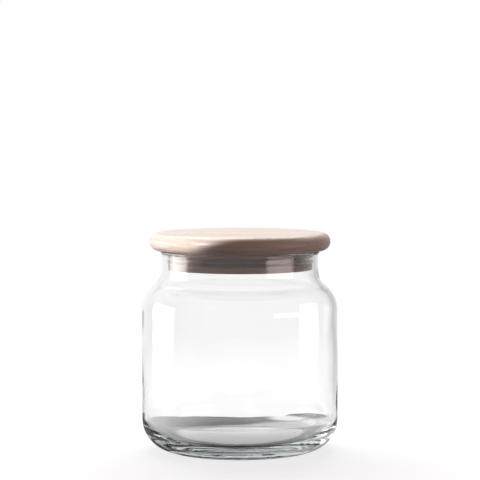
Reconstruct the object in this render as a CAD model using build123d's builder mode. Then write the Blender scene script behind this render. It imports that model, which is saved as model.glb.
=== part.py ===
"""A squat glass jar for sourdough starter, with a turned wooden lid and a soft seal ring.

The jar stands on its foot ring, centred on the origin, with +Z up. Lengths are in millimetres.
Every piece is turned about Z, so each section below gives radius across and height up.
"""

import os
from math import acos, degrees, radians, sin

from build123d import *

# Glass jar: outside of the body
body_radius = 56.0
base_corner_radius = 18.0
shoulder_radius = 19.0
neck_hollow_radius = 9.2

# Glass jar: neck and rim
jar_height = 114.5
neck_height = 11.8
neck_radius = 44.8
neck_wall = 2.8
rim_edge_radius = 1.0
rim_overhang = 0.7

# Glass jar: inside and underside
body_wall = 3.0
floor_thickness = 7.2
inner_corner_radius = 12.0
foot_ring_width = 4.0
push_up_height = 0.8

# Wooden lid: the disc that covers the rim
disc_radius = 51.6
disc_thickness = 9.9
disc_edge_radius = 4.8
disc_rim_gap = 0.1

# Wooden lid: the plug that drops into the neck
plug_depth = 10.7
plug_bore_gap = 0.7
plug_edge_radius = 0.6
flange_height = 3.9
groove_height = 4.5
groove_depth = 2.7

# Seal ring, drawn as it lies when pressed into the neck
seal_groove_gap = 0.05
seal_bore_gap = 0.05
seal_band_thickness = 1.2
seal_fin_thickness = 1.3

# Heights and radii where the pieces meet
bore_radius = neck_radius - neck_wall
disc_underside = jar_height + disc_rim_gap
disc_top = disc_underside + disc_thickness
plug_radius = bore_radius - plug_bore_gap
plug_bottom = disc_underside - plug_depth
groove_bottom = plug_bottom + flange_height
groove_top = groove_bottom + groove_height
groove_radius = plug_radius - groove_depth


def turn_between(step, first_radius, second_radius):
    """Degrees that two joined arcs, one turning back the other, need to step sideways by step."""
    return degrees(acos(1 - step / (first_radius + second_radius)))


# The jar: one piece of glass, outside from the foot to the rim, then inside back to the floor
foot_outer_radius = body_radius - base_corner_radius
foot_inner_radius = foot_outer_radius - foot_ring_width
shoulder_turn = turn_between(body_radius - neck_radius, shoulder_radius, neck_hollow_radius)
shoulder_height = (shoulder_radius + neck_hollow_radius) * sin(radians(shoulder_turn))
straight_side_top = jar_height - neck_height - shoulder_height

rim_arc_radius = neck_radius + rim_overhang - rim_edge_radius
rim_arc_height = jar_height - rim_edge_radius
rim_crease_angle = degrees(acos((rim_edge_radius - rim_overhang) / rim_edge_radius))

inside_radius = body_radius - body_wall
inner_hollow_radius = neck_hollow_radius + body_wall
inner_shoulder_radius = shoulder_radius - body_wall
inner_turn = turn_between(inside_radius - bore_radius, inner_hollow_radius, inner_shoulder_radius)
inner_curve_height = (inner_hollow_radius + inner_shoulder_radius) * sin(radians(inner_turn))
bore_bottom = straight_side_top + inner_curve_height

# The inside corner turns more tightly than the outside one, so the wall thickens towards the floor
inner_corner_top = floor_thickness + inner_corner_radius

with BuildPart() as glass_jar:
    with BuildSketch(Plane.XZ):
        with BuildLine():
            foot = Line((foot_inner_radius, 0), (foot_outer_radius, 0))
            base_corner = JernArc(foot @ 1, foot % 1, base_corner_radius, 90)
            side = Line(base_corner @ 1, (body_radius, straight_side_top))
            shoulder = JernArc(side @ 1, side % 1, shoulder_radius, shoulder_turn)
            hollow = JernArc(shoulder @ 1, shoulder % 1, neck_hollow_radius, -shoulder_turn)
            rim = CenterArc(
                (rim_arc_radius, rim_arc_height), rim_edge_radius, -rim_crease_angle, rim_crease_angle + 90
            )
            Line(hollow @ 1, rim @ 0)
            rim_top = Line(rim @ 1, (bore_radius + rim_edge_radius, jar_height))
            rim_inside = JernArc(rim_top @ 1, rim_top % 1, rim_edge_radius, 90)
            bore = Line(rim_inside @ 1, (bore_radius, bore_bottom))
            inner_hollow = JernArc(bore @ 1, bore % 1, inner_hollow_radius, inner_turn)
            inner_shoulder = JernArc(
                inner_hollow @ 1, inner_hollow % 1, inner_shoulder_radius, -inner_turn
            )
            inside = Line(inner_shoulder @ 1, (inside_radius, inner_corner_top))
            inner_corner = JernArc(inside @ 1, inside % 1, inner_corner_radius, -90)
            floor = Line(inner_corner @ 1, (0, floor_thickness))
            axis = Line(floor @ 1, (0, push_up_height))
            TangentArc(axis @ 1, foot @ 0, tangent=(1, 0))
        make_face()
    revolve(axis=Axis.Z)

# The lid: disc and plug turned from one piece of wood, with a groove for the seal
with BuildPart() as wooden_lid:
    with BuildSketch(Plane.XZ):
        with BuildLine():
            disc_edge_start = disc_radius - disc_edge_radius
            under_disc = Line((plug_radius, disc_underside), (disc_edge_start, disc_underside))
            lower_edge = JernArc(under_disc @ 1, under_disc % 1, disc_edge_radius, 90)
            edge = Line(lower_edge @ 1, (disc_radius, disc_top - disc_edge_radius))
            upper_edge = JernArc(edge @ 1, edge % 1, disc_edge_radius, 90)
            Polyline(upper_edge @ 1, (0, disc_top), (0, plug_bottom))
            plug_face = Line((0, plug_bottom), (plug_radius - plug_edge_radius, plug_bottom))
            plug_edge = JernArc(plug_face @ 1, plug_face % 1, plug_edge_radius, 90)
            Polyline(
                plug_edge @ 1,
                (plug_radius, groove_bottom),
                (groove_radius, groove_bottom),
                (groove_radius, groove_top),
                (plug_radius, groove_top),
                under_disc @ 0,
            )
        make_face()
    revolve(axis=Axis.Z)

# The seal: a band that sits in the groove, with a rounded fin at its foot and one at its head
seal_inner_radius = groove_radius + seal_groove_gap
seal_band_radius = seal_inner_radius + seal_band_thickness
seal_bottom = groove_bottom + seal_groove_gap
seal_top = groove_top - seal_groove_gap
fin_tip_radius = seal_fin_thickness / 2
fin_tip_start = bore_radius - seal_bore_gap - fin_tip_radius

with BuildPart() as seal_ring:
    with BuildSketch(Plane.XZ):
        with BuildLine():
            lower_fin = Line((seal_inner_radius, seal_bottom), (fin_tip_start, seal_bottom))
            lower_tip = JernArc(lower_fin @ 1, lower_fin % 1, fin_tip_radius, 180)
            upper_fin_start = (seal_band_radius, seal_top - seal_fin_thickness)
            Polyline(lower_tip @ 1, (seal_band_radius, seal_bottom + seal_fin_thickness), upper_fin_start)
            upper_fin = Line(upper_fin_start, (fin_tip_start, seal_top - seal_fin_thickness))
            upper_tip = JernArc(upper_fin @ 1, upper_fin % 1, fin_tip_radius, 180)
            Polyline(upper_tip @ 1, (seal_inner_radius, seal_top), lower_fin @ 0)
        make_face()
    revolve(axis=Axis.Z)

glass_jar.part.label = "glass_jar"
wooden_lid.part.label = "wooden_lid"
seal_ring.part.label = "seal_ring"

os.makedirs("parts", exist_ok=True)
export_step(glass_jar.part, "parts/glass_jar.step")
export_step(wooden_lid.part, "parts/wooden_lid.step")
export_step(seal_ring.part, "parts/seal_ring.step")
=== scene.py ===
"""Looks of a squat glass jar for sourdough starter, with a turned wooden lid and a soft seal ring.

Each piece is turned about Z from a half section, drawn in metres as radius across and height up.
"""

from math import acos, asin, cos, degrees, pi, radians, sin, sqrt

import bpy
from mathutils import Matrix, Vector


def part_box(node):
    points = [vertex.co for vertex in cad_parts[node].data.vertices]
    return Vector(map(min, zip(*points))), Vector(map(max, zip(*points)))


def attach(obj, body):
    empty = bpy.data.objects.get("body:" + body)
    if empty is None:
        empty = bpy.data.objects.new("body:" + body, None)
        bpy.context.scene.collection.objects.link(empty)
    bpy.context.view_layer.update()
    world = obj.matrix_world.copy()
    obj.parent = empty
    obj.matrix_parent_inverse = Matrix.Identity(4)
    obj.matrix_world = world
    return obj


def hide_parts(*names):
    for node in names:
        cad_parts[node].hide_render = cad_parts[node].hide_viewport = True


bl_info = {
    "name": "Sourdough Starter Jar",
    "version": (1, 0, 0),
    "blender": (4, 5, 0),
    "location": "3D View > Sidebar > Starter Jar",
    "description": "Dresses the packed jar: clear glass, a turned wooden lid and its seal ring",
    "category": "Add Mesh",
}

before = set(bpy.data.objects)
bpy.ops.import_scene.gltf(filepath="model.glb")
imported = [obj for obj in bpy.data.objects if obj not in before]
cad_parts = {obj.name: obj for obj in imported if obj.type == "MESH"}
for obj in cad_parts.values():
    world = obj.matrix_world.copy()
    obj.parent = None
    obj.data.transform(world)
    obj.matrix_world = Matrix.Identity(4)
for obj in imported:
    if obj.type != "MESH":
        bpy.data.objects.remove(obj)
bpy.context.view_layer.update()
JAR_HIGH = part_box("glass_jar")[1]
LID_LOW, LID_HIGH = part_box("wooden_lid")
SEAL_LOW, SEAL_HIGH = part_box("seal_ring")

MM = 0.001
SENSOR_WIDTH = 36
MERGE_DISTANCE = 0.0005 * MM

# The attribute that says how far each point of a section may stray, and the seeds of what is random
WAVER = "waver"
WAVER_SEED = 8.0
MARKS_SEED = 5.0


def length(name, description, default):
    """A size that a user can set, in metres."""
    return bpy.props.FloatProperty(
        name=name, description=description, default=default, min=0, unit="LENGTH", precision=5
    )


def colour(name, description, default):
    """A surface colour that a user can set."""
    return bpy.props.FloatVectorProperty(
        name=name, description=description, default=default, size=3, min=0, max=1, subtype="COLOR"
    )


def count(name, description, default):
    """How many of a thing there are."""
    return bpy.props.IntProperty(name=name, description=description, default=default, min=3)


class JarSizes(bpy.types.PropertyGroup):
    """Sizes and glass of the jar."""

    body_radius: length("Body radius", "Outside radius of the straight side", JAR_HIGH.x)
    height: length("Height", "Height of the rim above the foot", JAR_HIGH.z)
    base_corner: length("Base corner", "Outside radius of the turn from foot to side", 18 * MM)
    shoulder: length("Shoulder", "Radius of the round shoulder", 19 * MM)
    hollow: length("Neck hollow", "Radius of the hollow below the neck", 9.2 * MM)
    neck_radius: length("Neck radius", "Outside radius of the neck", 44.8 * MM)
    neck_height: length("Neck height", "Straight part of the neck, rim included", 11.8 * MM)
    neck_wall: length("Neck wall", "Thickness of the neck", 2.8 * MM)
    body_wall: length("Body wall", "Thickness of the side", 3 * MM)
    rim_edge: length("Rim edge", "Radius of the rounded rim", 1 * MM)
    rim_overhang: length("Rim overhang", "How far the rim stands out past the neck", 0.7 * MM)
    floor: length("Floor", "Thickness of the glass under the inside", 7.2 * MM)
    inner_corner: length("Inner corner", "Radius of the inside turn from floor to side", 12 * MM)
    foot_width: length("Foot ring", "Width of the ring that the jar stands on", 4 * MM)
    push_up: length("Push-up", "Height of the hollow under the base", 0.8 * MM)
    waver: length("Waver", "How far the inside of the glass strays from true", 0.3 * MM)
    wave_length: length("Wave length", "Distance from one swell of the inside to the next", 30 * MM)
    heel_marks: length("Heel marks", "Depth of the marks round the base corner", 0.04 * MM)
    marks_top: length("Heel marks' top", "Height above the foot where the marks end", 16 * MM)
    marks_spacing: length("Heel marks' spacing", "Distance from one mark to the next", 5 * MM)
    segments: count("Segments", "Steps round the jar", 256)
    tint: colour("Tint", "Colour of light that has come through thick glass", (0.88, 0.92, 0.93))


class LidSizes(bpy.types.PropertyGroup):
    """Sizes and wood of the lid."""

    disc_radius: length("Disc radius", "Radius of the disc that covers the rim", LID_HIGH.x)
    disc_thickness: length("Disc thickness", "Thickness of the disc", 9.9 * MM)
    disc_edge: length("Disc edge", "Radius of the disc's rounded edge", 4.8 * MM)
    plug_radius: length("Plug radius", "Radius of the plug in the neck", 41.3 * MM)
    plug_edge: length("Plug edge", "Radius of the plug's lower edge", 0.6 * MM)
    flange: length("Flange", "Height of the plug below the groove", 3.9 * MM)
    groove_height: length("Groove height", "Height of the seal's groove", 4.5 * MM)
    groove_depth: length("Groove depth", "Depth of the seal's groove", 2.7 * MM)
    groove_edge: length("Groove edge", "Radius of the groove's outer edges", 0.25 * MM)
    segments: count("Segments", "Steps round the lid", 192)
    wood: colour("Wood", "Colour of the pale wood", (0.78, 0.645, 0.58))
    grain: colour("Grain", "Colour of the dark lines in the wood", (0.58, 0.435, 0.35))
    # Painted shade: the plug's wood is multiplied by this colour
    plug_painted_shade: colour("Plug tone", "Deepens the plug's sheltered wood", (0.86, 0.72, 0.66))


class SealSizes(bpy.types.PropertyGroup):
    """Sizes and colour of the seal ring."""

    band: length("Band", "Thickness of the band in the groove", 1.2 * MM)
    fin: length("Fin", "Thickness of each fin", 1.3 * MM)
    segments: count("Segments", "Steps round the seal", 192)
    silicone: colour("Silicone", "Colour of the seal", (0.7, 0.54, 0.47))


class StageSizes(bpy.types.PropertyGroup):
    """Floor, light and camera."""

    camera_distance: length("Camera distance", "From the jar's axis to the camera", 1.1743)
    camera_height: length("Camera height", "Height of the camera above the floor", 0.1943)
    camera_pitch: bpy.props.FloatProperty(
        name="Camera pitch", description="How far the camera looks down",
        default=0.063, subtype="ANGLE",
    )
    lens: bpy.props.FloatProperty(
        name="Lens", description="Focal length", default=154.4, unit="CAMERA"
    )
    floor_size: length("Floor size", "Side of the square floor", 2.0)
    floor_near: length("Floor fades from", "Distance at which the floor begins to fade", 0.2)
    floor_far: length("Floor fades to", "Distance at which the floor has faded out", 0.6)
    slab_back: length("Slab back", "Distance behind the axis at which the grey slab ends", 0.086)


def arc(centre, radius, first, last, step=4):
    """Points along an arc, ends included, from angle first to angle last in degrees."""
    steps = max(2, round(abs(last - first) / step))
    angles = [radians(first + (last - first) * i / steps) for i in range(steps + 1)]
    return [(centre[0] + radius * cos(a), centre[1] + radius * sin(a)) for a in angles]


def run(start, end, step=2 * MM):
    """Points between start and end, both left out."""
    across, up = end[0] - start[0], end[1] - start[1]
    steps = max(1, round(sqrt(across ** 2 + up ** 2) / step))
    return [(start[0] + across * i / steps, start[1] + up * i / steps) for i in range(1, steps)]


def joined(*stretches):
    """One outline through the stretches, with points along the straight gaps between them."""
    outline = list(stretches[0])
    for stretch in stretches[1:]:
        outline += run(outline[-1], stretch[0]) + list(stretch)
    return outline


def s_curve(step, first_radius, second_radius):
    """Turn and rise of two joined arcs, one turning back the other, that step sideways by step.

    The turn is in degrees, the same for each arc, and the rise is how far they go up together.
    """
    turn = degrees(acos(1 - step / (first_radius + second_radius)))
    return turn, (first_radius + second_radius) * sin(radians(turn))


def side_top(jar):
    """Height at which the straight side ends and the shoulder begins."""
    rise = s_curve(jar.body_radius - jar.neck_radius, jar.shoulder, jar.hollow)[1]
    return jar.height - jar.neck_height - rise


def jar_outside(jar):
    """Half section of the jar's outside, from the middle of the base up to the top of the rim."""
    foot_radius = jar.body_radius - jar.base_corner
    foot_inner = foot_radius - jar.foot_width
    push_up_radius = (foot_inner ** 2 + jar.push_up ** 2) / (2 * jar.push_up)
    push_up_angle = degrees(asin(foot_inner / push_up_radius))
    turn = s_curve(jar.body_radius - jar.neck_radius, jar.shoulder, jar.hollow)[0]
    hollow_top = jar.height - jar.neck_height
    rim_radius = jar.neck_radius + jar.rim_overhang - jar.rim_edge
    crease = degrees(acos((jar.rim_edge - jar.rim_overhang) / jar.rim_edge))
    return joined(
        arc((0, jar.push_up - push_up_radius), push_up_radius, 90, 90 - push_up_angle, step=0.25),
        arc((foot_radius, jar.base_corner), jar.base_corner, -90, 0, step=2.5),
        arc((jar.body_radius - jar.shoulder, side_top(jar)), jar.shoulder, 0, turn, step=2.5),
        arc((jar.neck_radius + jar.hollow, hollow_top), jar.hollow, 180 + turn, 180),
        arc((rim_radius, jar.height - jar.rim_edge), jar.rim_edge, -crease, 90, step=10),
    )


def jar_inside(jar):
    """Half section of the jar's inside, from the top of the rim down to the middle of the floor."""
    inside = jar.body_radius - jar.body_wall
    bore = jar.neck_radius - jar.neck_wall
    shoulder, hollow = jar.shoulder - jar.body_wall, jar.hollow + jar.body_wall
    turn, rise = s_curve(inside - bore, shoulder, hollow)
    shoulder_bottom = side_top(jar)
    corner = jar.inner_corner
    return joined(
        arc((bore + jar.rim_edge, jar.height - jar.rim_edge), jar.rim_edge, 90, 180, step=10),
        arc((bore + hollow, shoulder_bottom + rise), hollow, 180, 180 + turn),
        arc((inside - shoulder, shoulder_bottom), shoulder, turn, 0),
        arc((inside - corner, jar.floor + corner), corner, 0, -90, step=3),
        [(0, jar.floor)],
    )


def lid_section(lid):
    """Half section of the lid, from the middle of the plug's face to the middle of the top."""
    underside = LID_HIGH.z - lid.disc_thickness
    groove_bottom = LID_LOW.z + lid.flange
    groove_top = groove_bottom + lid.groove_height
    groove_radius = lid.plug_radius - lid.groove_depth
    plug_edge_radius = lid.plug_radius - lid.plug_edge
    groove_edge_radius = lid.plug_radius - lid.groove_edge
    disc_edge_radius = lid.disc_radius - lid.disc_edge
    return joined(
        [(0, LID_LOW.z)],
        arc((plug_edge_radius, LID_LOW.z + lid.plug_edge), lid.plug_edge, -90, 0, step=15),
        arc((groove_edge_radius, groove_bottom - lid.groove_edge), lid.groove_edge, 0, 90, step=30),
        [(groove_radius, groove_bottom), (groove_radius, groove_top)],
        arc((groove_edge_radius, groove_top + lid.groove_edge), lid.groove_edge, -90, 0, step=30),
        [(lid.plug_radius, underside)],
        arc((disc_edge_radius, underside + lid.disc_edge), lid.disc_edge, -90, 0),
        arc((disc_edge_radius, LID_HIGH.z - lid.disc_edge), lid.disc_edge, 0, 90),
        [(0, LID_HIGH.z)],
    )


def seal_section(seal, lid):
    """Closed half section of the seal: a band with a rounded fin at its foot and at its head."""
    gap = SEAL_LOW.z - LID_LOW.z - lid.flange
    inner = lid.plug_radius - lid.groove_depth + gap
    band = inner + seal.band
    tip = seal.fin / 2
    tip_middle = SEAL_HIGH.x - tip
    return joined(
        [(inner, SEAL_LOW.z)],
        arc((tip_middle, SEAL_LOW.z + tip), tip, -90, 90, step=15),
        [(band, SEAL_LOW.z + seal.fin), (band, SEAL_HIGH.z - seal.fin)],
        arc((tip_middle, SEAL_HIGH.z - tip), tip, -90, 90, step=15),
        [(inner, SEAL_HIGH.z), (inner, SEAL_LOW.z)],
    )


class Tree:
    """A node tree being built: adds nodes and links them by the names of their sockets."""

    def __init__(self, tree):
        self.tree = tree

    def add(self, kind, values=None, **settings):
        """A new node with its settings made and its sockets fed."""
        node = self.tree.nodes.new(kind)
        for name, value in settings.items():
            setattr(node, name, value)
        for socket, value in (values or {}).items():
            self.feed(node, socket, value)
        return node

    def feed(self, node, socket, value):
        """Links value to the node's socket, or sets it there when it is a plain value."""
        if isinstance(value, bpy.types.NodeSocket):
            self.tree.links.new(value, node.inputs[socket])
        else:
            node.inputs[socket].default_value = value

    def math(self, operation, first, second=0.0, third=0.0):
        """The result of a Math node."""
        values = {0: first, 1: second, 2: third}
        return self.add("ShaderNodeMath", values, operation=operation).outputs[0]

    def product(self, first, *others):
        """The values multiplied together, from left to right."""
        for other in others:
            first = self.math("MULTIPLY", first, other)
        return first

    def axes(self, place):
        """The X, Y and Z of a vector."""
        parts = self.add("ShaderNodeSeparateXYZ", {0: place}).outputs
        return parts["X"], parts["Y"], parts["Z"]

    def distance(self, place, centre):
        """How far place is from centre."""
        values = {0: place, 1: centre}
        return self.add("ShaderNodeVectorMath", values, operation="DISTANCE").outputs["Value"]

    def mix(self, amount, first, second, blend="MIX"):
        """A colour that goes from first to second as amount goes from 0 to 1."""
        values = {0: amount, 6: first, 7: second}
        return self.add("ShaderNodeMix", values, data_type="RGBA", blend_type=blend).outputs[2]

    def spread(self, value, span, to=(0.0, 1.0)):
        """Maps value from the span to another, held at its ends."""
        values = {0: value, 1: span[0], 2: span[1], 3: to[0], 4: to[1]}
        return self.add("ShaderNodeMapRange", values).outputs[0]


def geometry_tree(name, inputs):
    """A geometry node tree with a Geometry socket and named inputs: the tree and its inputs."""
    group = bpy.data.node_groups.new(name, "GeometryNodeTree")
    group.interface.new_socket("Geometry", in_out="INPUT", socket_type="NodeSocketGeometry")
    for socket, kind in inputs.items():
        group.interface.new_socket(socket, in_out="INPUT", socket_type="NodeSocket" + kind)
    group.interface.new_socket("Geometry", in_out="OUTPUT", socket_type="NodeSocketGeometry")
    tree = Tree(group)
    return tree, tree.add("NodeGroupInput").outputs


def finish_tree(tree, geometry, finish):
    """Ends a geometry tree in Realize Instances and Set Material."""
    real = tree.add("GeometryNodeRealizeInstances", {"Geometry": geometry})
    dressed = tree.add("GeometryNodeSetMaterial", {"Geometry": real.outputs[0], "Material": finish})
    output = tree.add("NodeGroupOutput")
    tree.feed(output, 0, dressed.outputs[0])


def stored_waver(tree):
    """How far each point may stray, as its section says."""
    attribute = tree.add("GeometryNodeInputNamedAttribute", {"Name": WAVER}, data_type="FLOAT")
    return attribute.outputs[0]


def turning_tree():
    """Turns a half section about Z: a grid whose rows follow the section, with columns round it."""
    tree, given = geometry_tree("Turned Piece", {
        "Segments": "Int", "Sharp Angle": "Float", "Finish": "Material"
    })
    section = given["Geometry"]
    points = tree.add("GeometryNodeAttributeDomainSize", {0: section}, component="MESH")
    per_section = points.outputs["Point Count"]
    grid = tree.add("GeometryNodeMeshGrid", {
        "Vertices X": tree.math("ADD", given["Segments"], 1),
        "Vertices Y": per_section,
    })
    index = tree.add("GeometryNodeInputIndex").outputs[0]
    place = tree.math("FLOORED_MODULO", index, per_section)
    column = tree.math("FLOOR", tree.math("DIVIDE", index, per_section))
    position = tree.add("GeometryNodeInputPosition").outputs[0]
    section_point = tree.add(
        "GeometryNodeSampleIndex",
        {"Geometry": section, "Value": position, "Index": place},
        data_type="FLOAT_VECTOR", domain="POINT",
    )
    section_waver = tree.add(
        "GeometryNodeSampleIndex",
        {"Geometry": section, "Value": stored_waver(tree), "Index": place},
        data_type="FLOAT", domain="POINT",
    )
    radius, _, height = tree.axes(section_point.outputs[0])
    angle = tree.product(tree.math("DIVIDE", column, given["Segments"]), 2 * pi)
    turned = tree.add("ShaderNodeCombineXYZ", {
        "X": tree.product(radius, tree.math("COSINE", angle)),
        "Y": tree.product(radius, tree.math("SINE", angle)),
        "Z": height,
    })
    kept = tree.add(
        "GeometryNodeStoreNamedAttribute",
        {"Geometry": grid.outputs["Mesh"], "Name": WAVER, "Value": section_waver.outputs[0]},
        data_type="FLOAT", domain="POINT",
    )
    placed = tree.add("GeometryNodeSetPosition", {
        "Geometry": kept.outputs[0], "Position": turned.outputs[0]
    })
    closed = tree.add("GeometryNodeMergeByDistance", {
        "Geometry": placed.outputs[0], "Distance": MERGE_DISTANCE
    })
    smooth = tree.add("GeometryNodeSetShadeSmooth", {"Geometry": closed.outputs[0]}, domain="FACE")
    edge_angle = tree.add("GeometryNodeInputMeshEdgeAngle").outputs[0]
    soft = tree.math("LESS_THAN", edge_angle, given["Sharp Angle"])
    creased = tree.add(
        "GeometryNodeSetShadeSmooth",
        {"Geometry": smooth.outputs[0], "Shade Smooth": soft},
        domain="EDGE",
    )
    finish_tree(tree, creased.outputs[0], given["Finish"])
    return tree.tree


def seeded_noise(tree, place, size, seed, detail):
    """A smooth random field from 0 to 1 whose lumps are about size across."""
    values = {"Vector": place, "W": seed, "Scale": tree.math("DIVIDE", 1, size), "Detail": detail}
    return tree.add("ShaderNodeTexNoise", values, noise_dimensions="4D").outputs[0]


def move_along(tree, geometry, normal, amount):
    """Moves each point of the geometry along its normal by amount."""
    move = tree.add("ShaderNodeVectorMath", {0: normal, "Scale": amount}, operation="SCALE")
    values = {"Geometry": geometry, "Offset": move.outputs[0]}
    return tree.add("GeometryNodeSetPosition", values).outputs[0]


def waver_tree():
    """Moves points along their normals by a slow random amount, as far as their waver allows."""
    tree, given = geometry_tree("Wavering Glass", {
        "Wave Length": "Float", "Seed": "Float", "Finish": "Material"
    })
    position = tree.add("GeometryNodeInputPosition").outputs[0]
    normal = tree.add("GeometryNodeInputNormal").outputs[0]
    waves = seeded_noise(tree, position, given["Wave Length"], given["Seed"], detail=1.0)
    swing = tree.math("MULTIPLY_ADD", waves, 2, -1)
    amount = tree.product(swing, stored_waver(tree))
    moved = move_along(tree, given["Geometry"], normal, amount)
    bare = tree.add("GeometryNodeRemoveAttribute", {"Geometry": moved, "Name": WAVER})
    finish_tree(tree, bare.outputs[0], given["Finish"])
    return tree.tree


def heel_marks_tree():
    """Presses shallow marks into the outside of the base corner, as a chilled mould leaves them."""
    tree, given = geometry_tree("Heel Marks", {
        "Top": "Float", "Depth": "Float", "Spacing": "Float", "Seed": "Float", "Finish": "Material"
    })
    position = tree.add("GeometryNodeInputPosition").outputs[0]
    normal = tree.add("GeometryNodeInputNormal").outputs[0]
    x, y, z = tree.axes(position)
    from_axis = tree.add("ShaderNodeCombineXYZ", {"X": x, "Y": y}).outputs[0]
    facing = tree.add("ShaderNodeVectorMath", {0: normal, 1: from_axis}, operation="DOT_PRODUCT")
    outside = tree.math("GREATER_THAN", facing.outputs["Value"], 0)
    # The marks fade out towards the foot and towards their top, at these shares of its height
    height = tree.math("DIVIDE", z, given["Top"])
    fading_in = tree.spread(height, (0.05, 0.2))
    fading_out = tree.spread(height, (0.6, 1.0), to=(1.0, 0.0))
    band = tree.product(fading_in, fading_out)
    marks = seeded_noise(tree, position, given["Spacing"], given["Seed"], detail=2.0)
    pressed = tree.product(tree.spread(marks, (0.35, 0.65)), tree.product(band, outside))
    inward = tree.product(pressed, tree.product(given["Depth"], -1))
    marked = move_along(tree, given["Geometry"], normal, inward)
    finish_tree(tree, marked, given["Finish"])
    return tree.tree


def section_object(name, outline, wavers=None):
    """An object that holds a half section as a chain of edges, and how far each point may stray."""
    mesh = bpy.data.meshes.new(name)
    edges = [(i, i + 1) for i in range(len(outline) - 1)]
    mesh.from_pydata([(r, 0, z) for r, z in outline], edges, [])
    mesh.attributes.new(WAVER, "FLOAT", "POINT")
    mesh.attributes[WAVER].data.foreach_set("value", wavers or [0.0] * len(outline))
    section = bpy.data.objects.new(name, mesh)
    bpy.context.scene.collection.objects.link(section)
    return section


def apply_tree(piece, tree, values):
    """Runs a geometry tree on the piece and keeps the result as its plain mesh."""
    modifier = piece.modifiers.new(tree.name, "NODES")
    modifier.node_group = tree
    for socket in tree.interface.items_tree:
        if socket.name in values:
            modifier[socket.identifier] = values[socket.name]
    bpy.context.view_layer.update()
    evaluated = piece.evaluated_get(bpy.context.evaluated_depsgraph_get())
    mesh = bpy.data.meshes.new_from_object(evaluated)
    mesh.name = piece.name
    piece.modifiers.clear()
    piece.data = mesh


def material(name):
    """A new material, with its tree ready to build, its shader and its output."""
    made = bpy.data.materials.new(name)
    made.use_nodes = True
    made.node_tree.nodes.clear()
    tree = Tree(made.node_tree)
    shader = tree.add("ShaderNodeBsdfPrincipled")
    output = tree.add("ShaderNodeOutputMaterial", {"Surface": shader.outputs[0]})
    return made, tree, shader, output


def object_place(tree, stretch=(1, 1, 1)):
    """Object coordinates, multiplied along X, Y and Z by stretch."""
    place = tree.add("ShaderNodeTexCoord").outputs["Object"]
    return tree.add("ShaderNodeMapping", {"Vector": place, "Scale": stretch}).outputs[0]


def noise(tree, place, scale=1.0, detail=2.0, roughness=0.5):
    """A smooth random field from 0 to 1."""
    values = {"Vector": place, "Scale": scale, "Detail": detail, "Roughness": roughness}
    return tree.add("ShaderNodeTexNoise", values).outputs[0]


def add_bump(tree, shader, height, strength, distance):
    """Gives the shader's surface the relief of height."""
    values = {"Height": height, "Strength": strength, "Distance": distance}
    tree.feed(shader, "Normal", tree.add("ShaderNodeBump", values).outputs[0])


def glass_material(jar):
    """Clear glass: faint blue-green where it is thick, a slow ripple, and a foot dulled by use."""
    scuff_height = 0.4 * MM
    scuff_roughness = 0.35
    made, tree, shader, output = material("Clear Glass")
    shader.inputs["Base Color"].default_value = (1, 1, 1, 1)
    shader.inputs["Transmission Weight"].default_value = 1.0
    shader.inputs["IOR"].default_value = 1.52
    place = object_place(tree)
    height = tree.axes(place)[2]
    scuffs = tree.spread(noise(tree, place, scale=900.0, detail=3.0), (0.45, 0.7))
    foot = tree.spread(height, (0.0, scuff_height), to=(1.0, 0.0))
    tree.feed(shader, "Roughness", tree.product(scuffs, foot, scuff_roughness))
    ripple = noise(tree, place, scale=45.0, detail=1.0)
    add_bump(tree, shader, ripple, strength=0.25, distance=0.05 * MM)
    depth = tree.add("ShaderNodeVolumeAbsorption")
    depth.inputs["Color"].default_value = (*jar.tint, 1)
    depth.inputs["Density"].default_value = 12.0
    tree.feed(output, "Volume", depth.outputs[0])
    return made


def wood_material(lid):
    """Pale turned wood: straight grain along X, short dark flecks, and a dry satin surface."""
    # The tree's heart runs along X, this far below the jar's foot and in front of its axis
    heart_below, heart_in_front = 90 * MM, 20 * MM
    ring_spacing, ring_wander = 2.6 * MM, 4 * MM
    ring_share, streak_share, fibre_share = 0.35, 0.35, 0.4
    ring_relief, fibre_relief = -0.5, -1.0
    # Over this height below the rim's top the painted shade on the plug fades in
    painted_shade_edge = 1 * MM
    made, tree, shader, _ = material("Turned Wood")
    y, z = tree.axes(object_place(tree))[1:]
    above_heart = tree.math("ADD", z, heart_below)
    behind_heart = tree.math("ADD", y, heart_in_front)
    above_squared = tree.math("POWER", above_heart, 2)
    behind_squared = tree.math("POWER", behind_heart, 2)
    from_heart = tree.math("SQRT", tree.math("ADD", above_squared, behind_squared))
    warp = noise(tree, object_place(tree, stretch=(6, 30, 30)))
    wandering = tree.math("MULTIPLY_ADD", warp, ring_wander, from_heart)
    waves = tree.math("SINE", tree.product(wandering, 2 * pi / ring_spacing))
    rings = tree.spread(waves, (0.1, 1.0))
    fibres = noise(tree, object_place(tree, stretch=(40, 1600, 1600)), detail=3.0, roughness=0.6)
    streaks = noise(tree, object_place(tree, stretch=(12, 260, 260)))
    dark = tree.product(tree.spread(fibres, (0.4, 0.75)), fibre_share)
    dark = tree.math("MULTIPLY_ADD", tree.spread(streaks, (0.35, 0.7)), streak_share, dark)
    dark = tree.math("MULTIPLY_ADD", rings, ring_share, dark)
    grained = tree.mix(dark, (*lid.wood, 1), (*lid.grain, 1))
    # Painted shade: the plug's wood sits out of the light, and its colour is made deeper to show
    # that shade
    painted_shade = tree.spread(z, (JAR_HIGH.z - painted_shade_edge, JAR_HIGH.z), to=(1.0, 0.0))
    with_painted_shade = tree.mix(painted_shade, grained, (*lid.plug_painted_shade, 1), blend="MULTIPLY")
    tree.feed(shader, "Base Color", with_painted_shade)
    tree.feed(shader, "Roughness", tree.spread(fibres, (0.3, 0.7), to=(0.32, 0.46)))
    relief = tree.math("MULTIPLY_ADD", fibres, fibre_relief, tree.product(rings, ring_relief))
    add_bump(tree, shader, relief, strength=0.5, distance=0.04 * MM)
    return made


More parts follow.
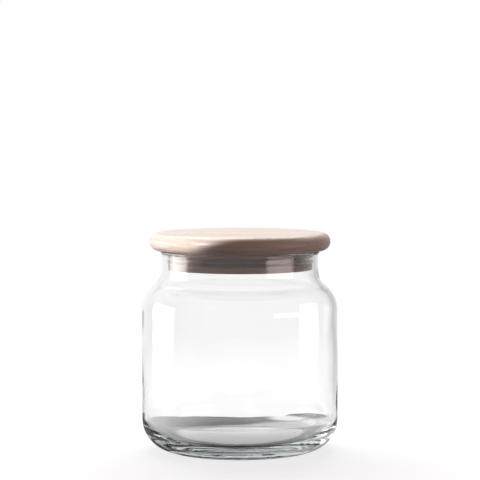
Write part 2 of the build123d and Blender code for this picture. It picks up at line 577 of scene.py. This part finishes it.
def silicone_material(seal):
    """Clear, faintly smoky silicone with a satin skin."""
    smoke_depth = 0.8
    made, tree, shader, _ = material("Smoky Silicone")
    shader.inputs["Transmission Weight"].default_value = 1.0
    shader.inputs["IOR"].default_value = 1.41
    cloud = noise(tree, object_place(tree), scale=350.0, detail=3.0)
    smoky = tuple(smoke_depth * c for c in seal.silicone)
    clouded = tree.spread(cloud, (0.3, 0.7), to=(0.0, 0.35))
    tree.feed(shader, "Base Color", tree.mix(clouded, (*seal.silicone, 1), (*smoky, 1)))
    tree.feed(shader, "Roughness", tree.spread(cloud, (0.3, 0.7), to=(0.12, 0.25)))
    add_bump(tree, shader, cloud, strength=0.3, distance=0.02 * MM)
    return made


def floor_seen(tree, rays, x):
    """How much of the floor's light a ray sees: all of it through the glass, and part mirrored.

    Rays that the glass mirrors see it mostly where it lies on the right, up to the slab's end: a
    painted reflection.
    """
    # Painted reflection: how much of the floor's light mirrored rays see goes by where on the floor
    # they land
    on_the_right = tree.spread(x, (-0.01, 0.045), to=(0.13, 1.0))
    before_the_end = tree.spread(x, (0.06, 0.1), to=(1.0, 0.1))
    mirrored = tree.product(rays["Is Glossy Ray"], on_the_right, before_the_end)
    seen = tree.math("MAXIMUM", rays["Is Transmission Ray"], mirrored)
    return tree.product(seen, tree.math("LESS_THAN", rays["Diffuse Depth"], 0.5))


def backdrop_light(tree, place, x, y, slab_back):
    """How bright the floor is round the slab, from 0 to 1, with painted light and painted shade in
    places, where X is to the right and Y back.
    """
    slab_right, open_side_back = 0.058, 0.05
    dark_corner, corner_radius = (0.049, 0.086, 0), 0.02
    painted_light_spot, spot_edge, spot_level = (0.031, 0.08, 0), (0.008, 0.015), 0.85
    wedge_front, wedge_slope, wedge_edge, wedge_level = 0.03, 0.45, (0.048, 0.059), 0.45
    # The slab's back edge is rounded, and its right side is open as far back as open_side_back
    rounded = tree.math("ADD", tree.math("POWER", x, 4), tree.math("POWER", y, 4))
    beyond = tree.math("GREATER_THAN", rounded, slab_back ** 4)
    beside = tree.math("GREATER_THAN", x, slab_right)
    beside = tree.product(beside, tree.math("LESS_THAN", y, open_side_back))
    bright = tree.math("MAXIMUM", beyond, beside)
    # The back right corner is dark, with a painted spot of light to the left of it
    from_corner = tree.distance(place, dark_corner)
    bright = tree.product(bright, tree.math("GREATER_THAN", from_corner, corner_radius))
    spot = tree.spread(tree.distance(place, painted_light_spot), spot_edge, to=(spot_level, 0.0))
    bright = tree.math("MAXIMUM", bright, spot)
    # It all dims far out on the right as painted shade, and the left has a low painted light of its
    # own
    painted_dimming = tree.spread(x, (0.12, 0.3), to=(0.8, 0.4))
    painted_left_light = tree.spread(x, (-0.06, -0.02), to=(0.3, 0.0))
    bright = tree.math("MAXIMUM", tree.product(bright, painted_dimming), painted_left_light)
    # A slanting wedge of half light runs in front of the slab's back edge
    slant = tree.math("MULTIPLY_ADD", x, -wedge_slope, y)
    wedge = tree.math("GREATER_THAN", y, wedge_front)
    wedge = tree.product(wedge, tree.spread(slant, wedge_edge, to=(wedge_level, 0.0)))
    return tree.math("MAXIMUM", bright, wedge)


def slab_painted_light(tree, x, reach):
    """Painted light that the slab gives off: most under the jar, and a little at its ends and far
    out.
    """
    # A painted pool of light under the jar; the slab's ends and the floor far out get painted light
    # too
    under = tree.spread(reach, (0.036, 0.039), to=(0.56, 0.0))
    ends = tree.spread(tree.math("ABSOLUTE", x), (0.02, 0.05), to=(0.0, 0.16))
    painted_light_far_out = tree.spread(reach, (0.045, 0.085), to=(0.0, 0.12))
    return tree.math("ADD", under, tree.math("MAXIMUM", ends, painted_light_far_out))


def floor_material(stage):
    """Matt floor, white to the eye, that shows through the glass as a grey slab under the jar, with
    painted light on and round the slab.
    """
    slab_colour, floor_colour = (0.15, 0.15, 0.155, 1), (0.35, 0.35, 0.35, 1)
    white_to_camera = 0.79
    made, tree, shader, output = material("Pale Floor")
    shader.inputs["Roughness"].default_value = 1.0
    shader.inputs["Specular IOR Level"].default_value = 0.0
    rays = tree.add("ShaderNodeLightPath").outputs
    place = object_place(tree)
    x, y, _ = tree.axes(place)
    reach = tree.add("ShaderNodeVectorMath", {0: place}, operation="LENGTH").outputs["Value"]
    tree.feed(shader, "Base Color", tree.mix(rays["Is Camera Ray"], slab_colour, floor_colour))
    around = backdrop_light(tree, place, x, y, stage.slab_back)
    light = tree.math("ADD", around, slab_painted_light(tree, x, reach))
    seen_in_glass = tree.product(floor_seen(tree, rays, x), light)
    # In the glass the floor glows with its painted light; to the camera it glows evenly white
    glow = tree.add("ShaderNodeEmission", {
        "Strength": tree.math("MULTIPLY_ADD", rays["Is Camera Ray"], white_to_camera, seen_in_glass)
    })
    lit = tree.add("ShaderNodeAddShader", {0: shader.outputs[0], 1: glow.outputs[0]})
    nothing = tree.add("ShaderNodeBsdfTransparent")
    fading = tree.add("ShaderNodeMixShader", {
        0: tree.spread(reach, (stage.floor_near, stage.floor_far)),
        1: lit.outputs[0],
        2: nothing.outputs[0],
    })
    tree.feed(output, "Surface", fading.outputs[0])
    return made


class StarterJarGlass(bpy.types.Operator):
    """Make the glass jar"""

    bl_idname = "starter_jar.glass"
    bl_label = "Glass Jar"

    def execute(self, context):
        jar = context.scene.starter_jar
        outside, inside = jar_outside(jar), jar_inside(jar)
        wavers = [0.0] * len(outside) + [jar.waver] * len(inside)
        piece = section_object("jar_glass", outside + inside, wavers)
        finish = glass_material(jar)
        apply_tree(piece, turning_tree(), {
            "Segments": jar.segments, "Sharp Angle": radians(30), "Finish": finish
        })
        apply_tree(piece, waver_tree(), {
            "Wave Length": jar.wave_length, "Seed": WAVER_SEED, "Finish": finish
        })
        apply_tree(piece, heel_marks_tree(), {
            "Top": jar.marks_top, "Depth": jar.heel_marks, "Spacing": jar.marks_spacing,
            "Seed": MARKS_SEED, "Finish": finish,
        })
        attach(piece, "jar")
        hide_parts("glass_jar")
        return {"FINISHED"}


class StarterJarLid(bpy.types.Operator):
    """Make the turned wooden lid"""

    bl_idname = "starter_jar.lid"
    bl_label = "Wooden Lid"

    def execute(self, context):
        lid = context.scene.starter_lid
        piece = section_object("lid_wood", lid_section(lid))
        apply_tree(piece, turning_tree(), {
            "Segments": lid.segments, "Sharp Angle": radians(40), "Finish": wood_material(lid)
        })
        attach(piece, "lid")
        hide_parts("wooden_lid")
        return {"FINISHED"}


class StarterJarSeal(bpy.types.Operator):
    """Make the seal ring in the plug's groove"""

    bl_idname = "starter_jar.seal"
    bl_label = "Seal Ring"

    def execute(self, context):
        seal = context.scene.starter_seal
        piece = section_object("seal_silicone", seal_section(seal, context.scene.starter_lid))
        apply_tree(piece, turning_tree(), {
            "Segments": seal.segments, "Sharp Angle": radians(40), "Finish": silicone_material(seal)
        })
        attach(piece, "seal")
        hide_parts("seal_ring")
        return {"FINISHED"}


def place_light(name, data, place, aim):
    """An object for the light's data at place, facing aim."""
    light = bpy.data.objects.new(name, data)
    light.location = place
    towards = Vector([a - p for a, p in zip(aim, place)])
    light.rotation_euler = towards.to_track_quat("-Z", "Y").to_euler()
    bpy.context.scene.collection.objects.link(light)
    return light


def add_light(name, place, aim, size, power, light_colour=(1, 1, 1)):
    """A rectangular soft light at place, facing aim."""
    data = bpy.data.lights.new(name, "AREA")
    data.shape = "RECTANGLE"
    data.size, data.size_y = size
    data.energy = power
    data.color = light_colour
    return place_light(name, data, place, aim)


def add_spot(name, place, aim, cone, blend, power):
    """A small light at place, facing aim. Its cone is in degrees, with an edge as soft as blend."""
    data = bpy.data.lights.new(name, "SPOT")
    data.energy = power
    data.spot_size = radians(cone)
    data.spot_blend = blend
    data.shadow_soft_size = 2 * MM
    return place_light(name, data, place, aim)


def world_light():
    """White to the camera, and nearly so in the glass, where its level goes by direction.

    In a direction, X is right, Y is back and Z is up. Matt surfaces get a low, warm fill.
    """
    fill_colour = (0.11, 0.07, 0.065, 1)
    room_level, backdrop_level = 0.9, 0.96
    right_dimming, above_dimming = 0.3, 0.6
    world = bpy.data.worlds.new("Studio")
    bpy.context.scene.world = world
    world.use_nodes = True
    world.node_tree.nodes.clear()
    tree = Tree(world.node_tree)
    rays = tree.add("ShaderNodeLightPath").outputs
    x, y, z = tree.axes(tree.add("ShaderNodeTexCoord").outputs["Generated"])
    through = rays["Is Transmission Ray"]
    # The glass mirrors the dim front of the room, which doesn't show through it
    front = tree.math("MAXIMUM", through, tree.spread(y, (0.0, 0.9), to=(0.3, 1.0)))
    # The right is a little dimmer than the left, mostly in directions that are nearly level
    on_the_right = tree.spread(x, (-0.3, 0.3))
    not_in_front = tree.spread(y, (-0.4, 0.0))
    nearly_level = tree.spread(tree.math("ABSOLUTE", z), (0.12, 0.25), to=(1.0, 0.3))
    right = tree.product(on_the_right, not_in_front, nearly_level)
    side = tree.product(front, tree.math("MULTIPLY_ADD", right, -right_dimming, room_level))
    # The room is dimmer high up at the back, but for its left, as it shows through the glass
    high = tree.product(through, tree.spread(z, (0.1, 0.3)))
    behind = tree.spread(y, (0.2, 0.5))
    not_on_the_left = tree.spread(x, (-0.5, -0.1))
    above = tree.product(behind, not_on_the_left, high)
    room = tree.product(side, tree.math("MULTIPLY_ADD", above, -above_dimming, 1))
    # The backdrop straight behind the jar is nearly white
    backdrop = tree.spread(y, (0.92, 0.98))
    lift = tree.math("SUBTRACT", backdrop_level, room)
    in_glass = tree.math("MULTIPLY_ADD", backdrop, lift, room)
    level = tree.math("MAXIMUM", rays["Is Camera Ray"], in_glass)
    seen = tree.add("ShaderNodeCombineColor", {"Red": level, "Green": level, "Blue": level})
    straight = tree.math("LESS_THAN", rays["Diffuse Depth"], 0.5)
    shell = tree.add("ShaderNodeBackground", {
        "Color": tree.mix(straight, fill_colour, seen.outputs[0])
    })
    tree.add("ShaderNodeOutputWorld", {"Surface": shell.outputs[0]})


class StarterJarStage(bpy.types.Operator):
    """Make the floor, the lights and the camera"""

    bl_idname = "starter_jar.stage"
    bl_label = "Stage"

    def execute(self, context):
        stage = context.scene.starter_stage
        half = stage.floor_size / 2
        corners = [(-half, -half, 0), (half, -half, 0), (half, half, 0), (-half, half, 0)]
        mesh = bpy.data.meshes.new("floor")
        mesh.from_pydata(corners, [], [(0, 1, 2, 3)])
        mesh.materials.append(floor_material(stage))
        floor = bpy.data.objects.new("floor", mesh)
        context.scene.collection.objects.link(floor)
        add_light("key", place=(-1.03, 0.24, 0.12), aim=(0, 0, 0.12), size=(0.7, 0.54), power=4.5)
        top = add_light("top", place=(-0.1, 0.75, 1.1), aim=(0, 0, 0.1), size=(1.2, 0.9), power=14)
        top.visible_transmission = False
        # Its sharp cone lights only the left end of the disc
        add_spot(
            "barndoor", place=(-0.785, -0.77, 0.46), aim=(-0.1633, 0.1344, 0.5345),
            cone=50, blend=0.02, power=60,
        )
        add_light(
            "fill", place=(0.83, -0.45, 0.128), aim=(0, 0, 0.128),
            size=(0.75, 0.2), power=1.1, light_colour=(1.0, 0.86, 0.84),
        )
        world_light()
        camera = bpy.data.objects.new("camera", bpy.data.cameras.new("camera"))
        camera.location = (0, -stage.camera_distance, stage.camera_height)
        camera.rotation_euler = (pi / 2 - stage.camera_pitch, 0, 0)
        camera.data.lens = stage.lens
        camera.data.sensor_width = SENSOR_WIDTH
        context.scene.collection.objects.link(camera)
        context.scene.camera = camera
        context.scene.view_settings.view_transform = "Standard"
        light_paths = context.scene.cycles
        light_paths.max_bounces = 32
        light_paths.glossy_bounces = 24
        light_paths.transmission_bounces = 24
        return {"FINISHED"}


class StarterJarPanel(bpy.types.Panel):
    """Makes the jar piece by piece"""

    bl_idname = "STARTERJAR_PT_pieces"
    bl_label = "Starter Jar"
    bl_space_type = "VIEW_3D"
    bl_region_type = "UI"
    bl_category = "Starter Jar"

    def draw(self, context):
        for group, operator in STEPS:
            box = self.layout.box()
            settings = getattr(context.scene, group)
            for name in settings.__annotations__:
                box.prop(settings, name)
            box.operator(operator)


GROUPS = {
    "starter_jar": JarSizes,
    "starter_lid": LidSizes,
    "starter_seal": SealSizes,
    "starter_stage": StageSizes,
}
STEPS = (
    ("starter_jar", StarterJarGlass.bl_idname),
    ("starter_lid", StarterJarLid.bl_idname),
    ("starter_seal", StarterJarSeal.bl_idname),
    ("starter_stage", StarterJarStage.bl_idname),
)
OPERATORS = (StarterJarGlass, StarterJarLid, StarterJarSeal, StarterJarStage)
CLASSES = (*GROUPS.values(), *OPERATORS, StarterJarPanel)


def register():
    for made in CLASSES:
        bpy.utils.register_class(made)
    for name, group in GROUPS.items():
        setattr(bpy.types.Scene, name, bpy.props.PointerProperty(type=group))


def unregister():
    for name in GROUPS:
        delattr(bpy.types.Scene, name)
    for made in reversed(CLASSES):
        bpy.utils.unregister_class(made)


def main():
    register()
    bpy.ops.starter_jar.glass()
    bpy.ops.starter_jar.lid()
    bpy.ops.starter_jar.seal()
    bpy.ops.starter_jar.stage()


if __name__ == "__main__":
    main()
